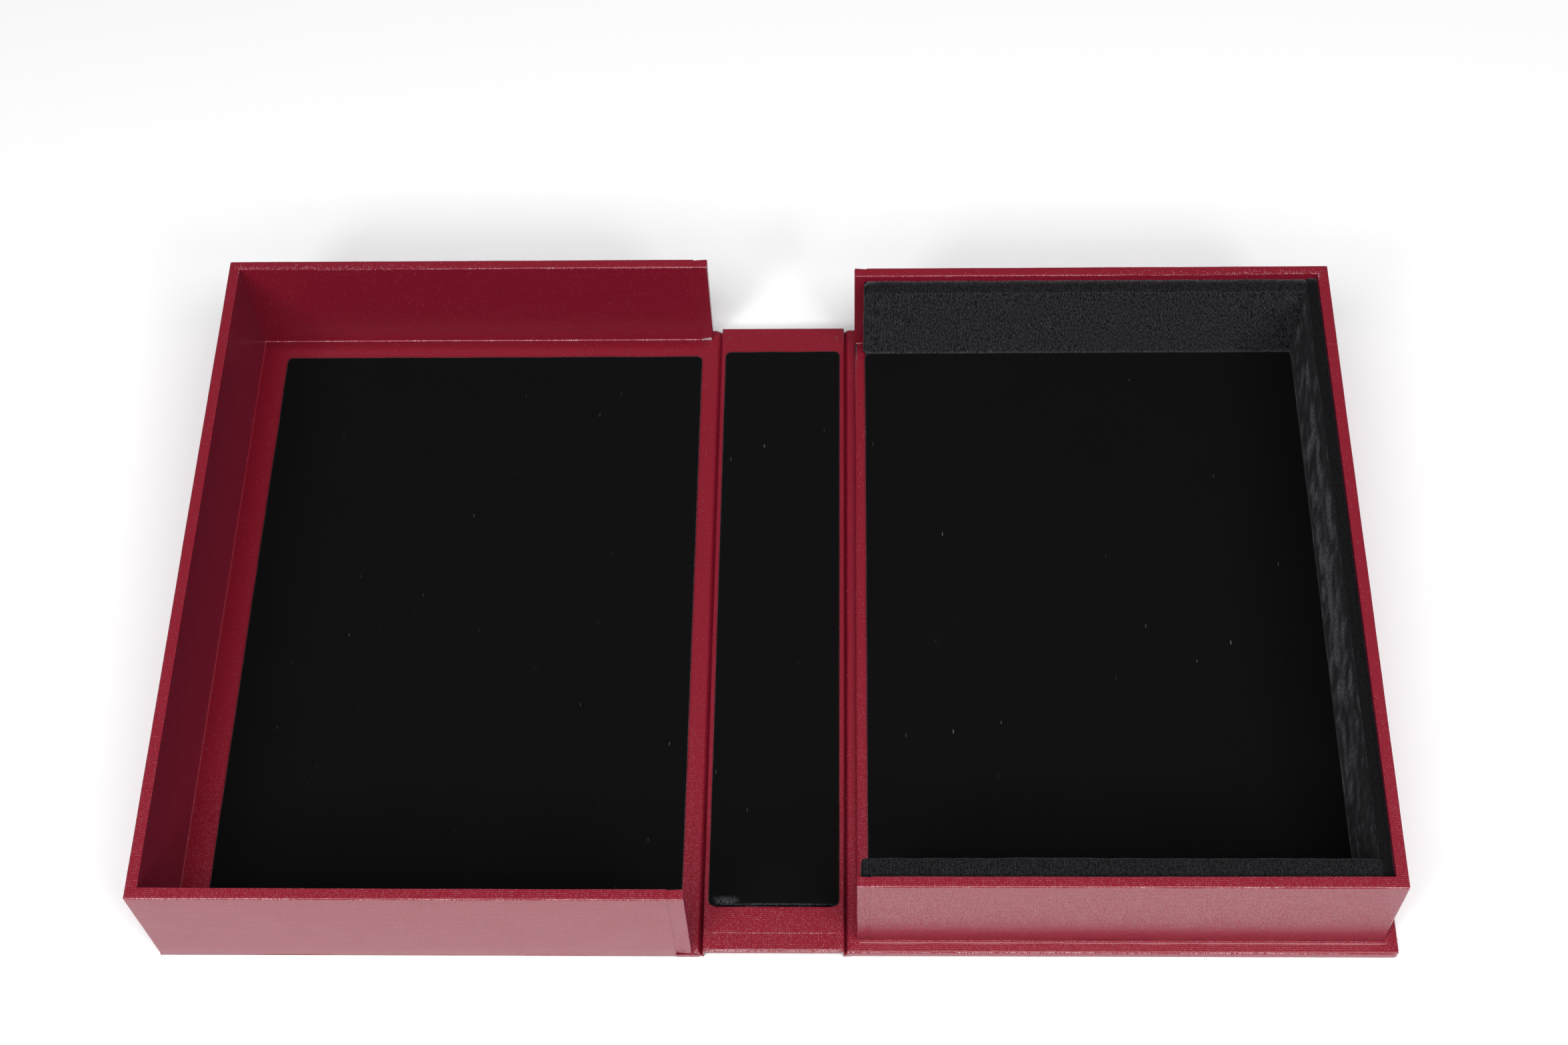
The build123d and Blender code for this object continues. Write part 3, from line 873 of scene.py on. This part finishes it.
class BOOKBOX_OT_turn_ups(bpy.types.Operator):
    """Adds the edges of cloth glued down at the feet of both trays, and the scuff beside one"""

    bl_idname = "bookbox.turn_ups"
    bl_label = "Turned-up cloth"

    def execute(self, context):
        cloth = context.scene.bookbox_cloth

        # the case cloth turned up on the outside of the large tray's tail and head walls
        start = LARGE_WALLS[1].x - cloth.large_seam
        end = LARGE_FLOOR[1].x
        half = LARGE_WALLS[1].y
        proud = 0.25 * MM
        for name, side in (("tail", -1), ("head", 1)):
            low = Vector((start, min(side * half, side * (half + proud)), 0.05 * MM))
            high = Vector((end, max(side * half, side * (half + proud)), cloth.turn_up))
            bm = box_mesh(low, high)
            outside = [e for e in bm.edges if all(v.co.y * side > half + 1e-6 for v in e.verts)]
            soften(bm, outside, 0.12 * MM, 2)
            cut_grid(bm, 3 * MM)
            make_piece(bm, f"turned_up_cloth_{name}", "cloth", "large_tray")

        # a frayed scuff at the foot of the head wall, beside its end: it tapers away from the end
        foot = LARGE_FLOOR[1].z + 0.1 * MM
        face = LARGE_WALLS[1].y - WALL
        end = LARGE_WALLS[1].x - 0.6 * MM
        length, height, taper, leaning = 3.8 * MM, 1.1 * MM, 0.85, 0.35 * MM
        low = (end - length, face - 0.45 * MM, foot)
        bm = box_mesh(low, (end, face - 0.05 * MM, foot + height))
        cut_grid(bm, 0.3 * MM)
        for vert in bm.verts:
            share = (end - vert.co.x) / length
            vert.co.z = foot + (vert.co.z - foot) * (1 - taper * share)
            vert.co.y += leaning * (vert.co.z - foot) / height
        ripple(bm, 0.2 * MM, 0.7 * MM, 79.0)
        make_piece(bm, "scuff", "cotton", "large_tray")

        # the wall cloth turned out on to the cover round the small tray, sloping at head and tail. Its outer
        # edges there are marked in the edge layer, for a painted highlight line
        low, high = SMALL_WALLS
        reach = cloth.flange + 0.03 * MM
        under, over = 0.05 * MM, 0.22 * MM
        bm = bmesh.new()
        tray_plan(bm, low.x + MM, high.x + reach, high.y + reach, cloth.flange)
        for vert in bm.verts:
            vert.co.z = low.z - under
        layer = bm.verts.layers.float.new("edge")
        raised = bmesh.ops.extrude_face_region(bm, geom=bm.faces[:])
        slope = 0.45 * MM
        for vert in new_verts(raised):
            vert.co.z = low.z + over
            if abs(vert.co.y) > high.y + MM:
                vert.co.y -= slope if vert.co.y > 0 else -slope
                vert.co.x -= slope * (vert.co.x > high.x + MM)
                vert[layer] = 1.0
        bmesh.ops.recalc_face_normals(bm, faces=bm.faces[:])
        cut_grid(bm, 2.5 * MM)
        keep_corners(bm)
        ripple(bm, 0.25 * MM, 9 * MM, 71.0, lambda place: 0.2 if place.z > low.z else 1.0)
        make_piece(bm, "small_tray_flange", "cloth", "small_tray")
        return {"FINISHED"}


# ---------------------------------------------------------------- joints
def arc(x, z, radius, first, last, steps=4):
    """Points round part of a circle in the XZ plane, from one angle to another in degrees."""
    angles = [radians(first + (last - first) * i / steps) for i in range(steps + 1)]
    return [(x + radius * cos(angle), z + radius * sin(angle)) for angle in angles]


def joint_cloth(name, bodies, board, spine, overhang, depths, cloth):
    """The cloth across one groove: glued to the top of the board, down into the groove and up on to
    the spine. board and spine are the X and Z of the top edges beside the groove, overhang is how far
    the cloth stands out from the spine's edge, and depths are how deep the groove is below the board's
    top at the tail, in the middle and at the head."""
    lap = 2.6 * MM  # glued width on each side of the groove
    slope = 1.7 * MM  # width of the board's top that slopes down to its edge
    bend = 0.5 * MM
    flush = 0.03 * MM
    away = 1 if board[0] > spine[0] else -1
    rise = abs(board[0] - spine[0]) - overhang
    half = SPINE[1].y

    def profile(depth):
        """Points from the board over the groove to the spine, as distances from the board's edge."""
        points = [(-slope - lap, board[1] - flush), (-slope - lap / 2, board[1] + flush / 2)]
        steps = 10
        for i in range(steps + 1):
            share = i / steps
            fall = depth * (1 - cos(pi / 2 * share**1.5))
            points.append((share * (slope + rise - bend / 2) - slope, board[1] + flush - fall))
        points += arc(rise - bend / 2, board[1] + flush - depth + bend / 2, bend / 2, -90, 0)[1:]
        points += arc(rise + bend, spine[1] + flush - bend, bend, 180, 90)
        points += [(rise + bend + lap / 2, spine[1] + flush / 2), (rise + bend + lap, spine[1] - flush)]
        return [(board[0] - away * x, z) for x, z in points]

    # rows of the sheet, as distances from the end of the tail: close together where the ends of the
    # cloth turn down, and each end has one more row at the table
    turn = [0.0, 0.0, 0.1 * MM, 0.3 * MM, 0.55 * MM, 0.8 * MM]
    spaces = 90
    long = 2 * half - 2 * turn[-1]
    rows = turn[:-1] + [turn[-1] + long * i / spaces for i in range(spaces + 1)]
    rows += [2 * half - distance for distance in reversed(turn[:-1])]
    across = len(profile(0.0)) - 1
    on_spine = 7  # points of the profile that lie on the spine, and go one layer down at its ends
    turned_in = half - cloth.turn_in
    lowest, table = 0.5 * MM, 0.2 * MM
    bm = bmesh.new()
    bmesh.ops.create_grid(bm, x_segments=across, y_segments=len(rows) - 1, size=0.5)
    tail, middle, head = depths
    for vert in bm.verts:
        column = round((vert.co.x + 0.5) * across)
        row = round((vert.co.y + 0.5) * (len(rows) - 1))
        y = rows[row] - half
        depth = middle + ((tail if y < 0 else head) - middle) * abs(y / half) ** 2
        x, z = profile(depth)[column]
        if column > across - on_spine:
            z -= cloth.step * rising(abs(y), turned_in - 0.2 * MM, turned_in + 0.2 * MM)
        left = max(turn[-1] - (half - abs(y)), 0.0)
        z = max(z - turn[-1] + (turn[-1] ** 2 - left**2) ** 0.5, lowest)
        if min(column, across - column) < 3:
            y *= 1 - 0.1 * MM / half
        elif row in (0, len(rows) - 1):
            z = table
        vert.co = (x, y, z)
    face_up(bm)
    groove = board[0] - away * rise / 2

    def in_groove(place):
        """How much the cloth ripples: fully in the groove, and not at its ends or on the boards."""
        inside = rising(half - abs(place.y), MM, 4 * MM)
        return inside * (1 - rising(abs(place.x - groove), 1.2 * MM, 2.4 * MM))

    ripple(bm, 0.12 * MM, 10 * MM, 31.0, in_groove)
    area = sum(face.calc_area() for face in bm.faces)
    nodes = (f"{name}_outer_cloth", f"{name}_inner_cloth")
    piece = make_piece(bm, name, "cloth", replaced=nodes, shell=0.4 * MM, even_normals=False)
    ends = {"board": (board[0], 0, 0), "spine": (spine[0], 0, 0)}
    first, last = ("spine", "board") if bodies[0] == "spine" else ("board", "spine")
    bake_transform(piece, *bodies, start=ends[first], end=ends[last])


class BOOKBOX_OT_joints(bpy.types.Operator):
    """Lays the cloth across the grooves on both sides of the spine"""

    bl_idname = "bookbox.joints"
    bl_label = "Cloth joints"

    def execute(self, context):
        cloth = context.scene.bookbox_cloth
        joint_cloth(
            "cover_joint",
            ("small_tray", "spine"),
            board=(COVER[0].x, COVER[1].z),
            spine=(SPINE[1].x, SPINE[1].z),
            overhang=0.85 * MM,
            depths=(2.4 * MM, 1.8 * MM, 1.5 * MM),
            cloth=cloth,
        )
        joint_cloth(
            "large_tray_joint",
            ("spine", "large_tray"),
            board=(LARGE_FLOOR[1].x, LARGE_FLOOR[1].z),
            spine=(SPINE[0].x, SPINE[1].z),
            overhang=0.75 * MM,
            depths=(2.6 * MM, 1.3 * MM, 0.8 * MM),
            cloth=cloth,
        )
        return {"FINISHED"}


# ---------------------------------------------------------------- linings
def pile_fringe(name, body, start, end, lean, reach, seed):
    """Loose pile that leans out over one edge of a lining, as thin three-sided blades. start and end
    are the ends of the edge, and reach is how far the longest blades stand out along lean."""
    chance = random.Random(seed)
    spacing = 0.08 * MM
    count = int((end - start).length / spacing)
    bm = bmesh.new()
    bmesh.ops.create_cone(
        bm,
        cap_ends=True,
        cap_tris=False,
        segments=3,
        radius1=0.03 * MM,
        radius2=0.01 * MM,
        depth=1.0,
        matrix=Matrix.Translation((0, 0, 0.5)),
    )
    size = len(bm.verts)
    while len(bm.verts) < count * size:
        bmesh.ops.duplicate(bm, geom=bm.verts[:] + bm.edges[:] + bm.faces[:])
    bmesh.ops.delete(bm, geom=bm.verts[count * size :], context="VERTS")
    verts = bm.verts[:]
    for first in range(0, len(verts), size):
        place = start.lerp(end, chance.random())
        along = (end - start).normalized() * chance.gauss(0, 0.25)
        upward = Vector((0, 0, chance.uniform(-0.35, 0.15)))
        turn = (lean + along + upward).to_track_quat("Z", "Y").to_matrix().to_4x4()
        length = reach * (0.2 + 0.8 * chance.random() ** 2)
        matrix = Matrix.Translation(place) @ turn @ Matrix.Diagonal((1, 1, length, 1))
        for vert in verts[first : first + size]:
            vert.co = matrix @ vert.co
    make_piece(bm, name, "velvet", body, even_normals=False)


def flat_lining(name, body, velvet, seed, spread=(0, 0, 0, 0), frayed=()):
    """A velvet-covered card: rounded edges, and a slight crown. spread is how far its pile stands out
    from its CAD box towards -X, +X, -Y and +Y. frayed are spots of fraying pile with a
    painted sheen: their middle, their half sizes and how strongly pale fibres are painted there."""
    node_name = f"{name}_velvet"
    low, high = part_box(node_name)
    low = low - Vector((spread[0], spread[2], 0))
    high = high + Vector((spread[1], spread[3], 0))
    bm = box_mesh(low, high)
    soften(bm, edges_along(bm, 2), LINING_CORNER, 5)
    top = [e for e in bm.edges if all(v.co.z > high.z - 1e-6 for v in e.verts)]
    soften(bm, top, min(velvet.edge, 0.9 * (high.z - low.z)), 4)
    cut_grid(bm, 6 * MM)
    for x, y, half_x, half_y, amount in frayed:
        cut_across(bm, 0, [x + half_x * i / 2 for i in range(-2, 3)])
        cut_across(bm, 1, [y + half_y * i / 2 for i in range(-2, 3)])
    # the spots are marked for pale fibre colour: fraying pile, with a painted sheen
    fray = bm.verts.layers.float.new("fray")
    for vert in bm.verts:
        for x, y, half_x, half_y, amount in frayed:
            apart = ((vert.co.x - x) / half_x) ** 2 + ((vert.co.y - y) / half_y) ** 2
            vert[fray] = max(vert[fray], amount * (1 - rising(apart, 0.0, 1.0)))
    centre = (low + high) / 2
    size = (high - low) / 2
    for vert in bm.verts:
        if vert.co.z > high.z - 0.3 * MM:
            place = [(vert.co[i] - centre[i]) / size[i] for i in (0, 1)]
            share = (1 - place[0] ** 2) * (1 - place[1] ** 2)
            vert.co.z += velvet.crown * max(share, 0) ** 0.5
    ripple(bm, 0.15 * MM, 9 * MM, seed, lambda place: place.z > low.z + GLUED)
    piece = make_piece(bm, name, "velvet", body, (node_name,))


def upright_lining(name, velvet, seed, face_axis, face_side, painted_sheen, reach=0.0, droop=0.0):
    """A velvet-covered strip against a wall, rounded and a little swollen towards the tray. face_axis
    and face_side say which way it faces, painted_sheen is how much pale fibre colour is painted on its
    face, and half as much on its top, as a painted sheen, reach is how far its pile presses on past its
    CAD box at the fore-edge side, and droop is how far its top sinks towards its ends."""
    node_name = f"{name}_velvet"
    low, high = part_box(node_name)
    high = high + Vector((reach, 0, 0))
    bm = box_mesh(low, high)
    front = (high if face_side > 0 else low)[face_axis]
    at_end_wall = face_axis == 1
    if at_end_wall:
        ends = edges_along(bm, face_axis, lambda middle: middle.z > high.z - 1e-6)
        soften(bm, ends, velvet.edge * 1.4, 6)
    free = [
        e
        for e in bm.edges
        if all(abs(v.co[face_axis] - front) < 1e-6 for v in e.verts)
        and any(v.co.z > low.z + 1e-6 for v in e.verts)
    ]
    soften(bm, free, velvet.round if at_end_wall else velvet.round / 2, 5)
    cut_grid(bm, 3 * MM)
    along = 1 - face_axis
    centre = (low + high) / 2
    size = (high - low) / 2
    skin = 0.4 * MM
    # the face, and half as much the top, are marked for pale fibre colour: a painted sheen
    fray = bm.verts.layers.float.new("fray")
    for vert in bm.verts:
        place = (vert.co[along] - centre[along]) / size[along]
        height = (vert.co.z - centre.z) / size.z
        if abs(vert.co[face_axis] - front) < skin:
            share = (1 - place**2) * (1 - height**2)
            vert.co[face_axis] += face_side * velvet.crown * max(share, 0) ** 0.5
            vert[fray] = painted_sheen
        elif vert.co.z > high.z - skin:
            vert[fray] = 0.5 * painted_sheen
        vert.co.z -= droop * rising(abs(place), 0.88, 1.0) * (vert.co.z - low.z) / (high.z - low.z)
    ripple(bm, 0.25 * MM, 7 * MM, seed, lambda place: place.z > low.z + GLUED)
    piece = make_piece(bm, name, "velvet", "small_tray", (node_name,))


class BOOKBOX_OT_linings(bpy.types.Operator):
    """Lines the floors, the spine and the small tray's walls with velvet"""

    bl_idname = "bookbox.linings"
    bl_label = "Velvet linings"

    def execute(self, context):
        velvet = context.scene.bookbox_velvet
        flat_lining("large_tray_lining", "large_tray", velvet, 41.0)
        spread = (0, 0.4 * MM, 0.4 * MM, 0.4 * MM)
        flat_lining("small_tray_lining", "small_tray", velvet, 43.0, spread)

        # the spine's lining is frayed at its tail, most at one corner, where loose pile stands out. Pale
        # fibres are painted there: frayed pile, and a painted sheen on it
        low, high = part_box("spine_lining_velvet")
        worn_corner = (low.x + 6 * MM, low.y + 1.6 * MM, 5 * MM, 1.8 * MM, 0.8)
        worn_edge = ((low.x + high.x) / 2, low.y + 0.2 * MM, 24 * MM, 0.7 * MM, 0.5)
        spread = (0, 0, 0, 0.5 * MM)
        flat_lining("spine_lining", "spine", velvet, 47.0, spread, (worn_corner, worn_edge))
        inset = LINING_CORNER + 0.2 * MM
        start = Vector((low.x + inset, low.y + 0.4 * MM, (low.z + high.z) / 2 + 0.15 * MM))
        end = Vector((high.x - inset, start.y, start.z))
        pile_fringe("spine_lining_fringe", "spine", start, end, Vector((0, -1, 0)), 0.8 * MM, 50.0)

        # each wall lining gets a painted sheen of pale fibres on its face and top
        for name, side, seed in (("head_lining", -1, 53.0), ("tail_lining", 1, 59.0)):
            upright_lining(name, velvet, seed, 1, side, painted_sheen=0.34, reach=1.2 * MM)
        upright_lining("fore_edge_lining", velvet, 61.0, 0, -1, painted_sheen=0.1, droop=0.5 * MM)
        return {"FINISHED"}


class BOOKBOX_OT_boards(bpy.types.Operator):
    """Gives the boards and cards inside the coverings their material"""

    bl_idname = "bookbox.boards"
    bl_label = "Boards"

    def execute(self, context):
        for name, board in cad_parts.items():
            if name.endswith(("board", "card")):
                board.data.materials.clear()
                board.data.materials.append(finish_named("board"))
        return {"FINISHED"}


# ---------------------------------------------------------------- stage
LIT_SPOT = (0, 0.05, 0)
LAMPS = (
    # name, place, width and depth, watts
    ("overhead_lamp", (0.10, -0.66, 1.60), (2.4, 0.7), 30.5),
    ("left_lamp", (-0.82, -1.08, 1.05), (0.42, 0.42), 7.4),
    ("right_lamp", (0.82, -1.08, 1.05), (0.42, 0.42), 6.1),
    ("front_lamp", (0.03, -1.25, 0.98), (0.90, 0.16), 2.0),
)


def add_lamp(name, place, size, power):
    """A rectangular soft lamp that faces the lit spot."""
    data = bpy.data.lights.new(name, "AREA")
    data.shape = "RECTANGLE"
    data.size, data.size_y = size
    data.energy = power
    lamp = bpy.data.objects.new(name, data)
    lamp.location = place
    lamp.rotation_euler = (Vector(LIT_SPOT) - Vector(place)).to_track_quat("-Z", "Y").to_euler()
    bpy.context.scene.collection.objects.link(lamp)


class BOOKBOX_OT_stage(bpy.types.Operator):
    """Sets the table, the lamps, the surroundings and the camera"""

    bl_idname = "bookbox.stage"
    bl_label = "Table, lamps and camera"

    def execute(self, context):
        scene = context.scene
        stage = scene.bookbox_stage
        scene.view_settings.view_transform = "Standard"

        bm = bmesh.new()
        bmesh.ops.create_grid(bm, x_segments=1, y_segments=1, size=4.0)
        bmesh.ops.translate(bm, verts=bm.verts[:], vec=(0, 0, -0.02 * MM))
        mesh = bpy.data.meshes.new("table")
        bm.to_mesh(mesh)
        bm.free()
        mesh.materials.append(finish_named("laminate"))
        table = bpy.data.objects.new("table", mesh)
        scene.collection.objects.link(table)

        for lamp in LAMPS:
            add_lamp(*lamp)

        # the room is white where the camera sees it, and where the gloss mirrors its lower part. It
        # lights the box only a little
        room_light, white = 0.2, 1.0
        world = bpy.data.worlds.new("room")
        scene.world = world
        world.use_nodes = True
        tree = world.node_tree
        tree.nodes.clear()
        rays = node(tree, "ShaderNodeLightPath")
        direction = node(tree, "ShaderNodeTexCoord").outputs["Generated"]
        height = node(tree, "ShaderNodeSeparateXYZ", Vector=direction).outputs["Z"]
        low = node(
            tree, "ShaderNodeMapRange", Value=height, From_Min=0.15, From_Max=0.4, To_Min=1.0, To_Max=0.0
        )
        mirrored = node(tree, MATHS, operation="MULTIPLY", i0=rays.outputs["Is Glossy Ray"], i1=low)
        seen = rays.outputs["Is Camera Ray"]
        seen = node(tree, MATHS, operation="MAXIMUM", i0=seen, i1=mirrored)
        strength = node(tree, MIX, data_type="FLOAT", i0=seen, i2=room_light, i3=white)
        background = node(tree, "ShaderNodeBackground", Color=(1, 1, 1, 1), Strength=strength)
        node(tree, "ShaderNodeOutputWorld", Surface=background)

        data = bpy.data.cameras.new("camera")
        data.sensor_fit = "HORIZONTAL"
        data.sensor_width = 36.0
        data.lens = stage.lens
        camera = bpy.data.objects.new("camera", data)
        turned = Matrix.Rotation(stage.turn, 4, "Z")
        tilted = Matrix.Rotation(pi / 2 - stage.tilt, 4, "X")
        rolled = Matrix.Rotation(stage.roll, 4, "Z")
        camera.matrix_world = Matrix.Translation(stage.place) @ turned @ tilted @ rolled
        scene.collection.objects.link(camera)
        scene.camera = camera
        return {"FINISHED"}


class BOOKBOX_PT_panel(bpy.types.Panel):
    """The steps and settings of the book box"""

    bl_label = "Book Box"
    bl_idname = "BOOKBOX_PT_panel"
    bl_space_type = "VIEW_3D"
    bl_region_type = "UI"
    bl_category = "Book Box"

    def draw(self, context):
        for operator in OPERATORS:
            self.layout.operator(operator.bl_idname)
        for group in ("bookbox_cloth", "bookbox_velvet", "bookbox_stage"):
            settings = getattr(context.scene, group)
            column = self.layout.column()
            for name in settings.__annotations__:
                column.prop(settings, name)


OPERATORS = (
    BOOKBOX_OT_tray_cloth,
    BOOKBOX_OT_case_cloth,
    BOOKBOX_OT_turn_ups,
    BOOKBOX_OT_joints,
    BOOKBOX_OT_linings,
    BOOKBOX_OT_boards,
    BOOKBOX_OT_stage,
)
GROUPS = {
    "bookbox_cloth": BOOKBOX_PG_cloth,
    "bookbox_velvet": BOOKBOX_PG_velvet,
    "bookbox_stage": BOOKBOX_PG_stage,
}


def register():
    for group in GROUPS.values():
        bpy.utils.register_class(group)
    for name, group in GROUPS.items():
        setattr(bpy.types.Scene, name, bpy.props.PointerProperty(type=group))
    for operator in OPERATORS:
        bpy.utils.register_class(operator)
    bpy.utils.register_class(BOOKBOX_PT_panel)


def unregister():
    bpy.utils.unregister_class(BOOKBOX_PT_panel)
    for operator in reversed(OPERATORS):
        bpy.utils.unregister_class(operator)
    for name, group in GROUPS.items():
        delattr(bpy.types.Scene, name)
        bpy.utils.unregister_class(group)


def main():
    register()
    bpy.ops.bookbox.tray_cloth()
    bpy.ops.bookbox.case_cloth()
    bpy.ops.bookbox.turn_ups()
    bpy.ops.bookbox.joints()
    bpy.ops.bookbox.linings()
    bpy.ops.bookbox.boards()
    bpy.ops.bookbox.stage()


if __name__ == "__main__":
    main()
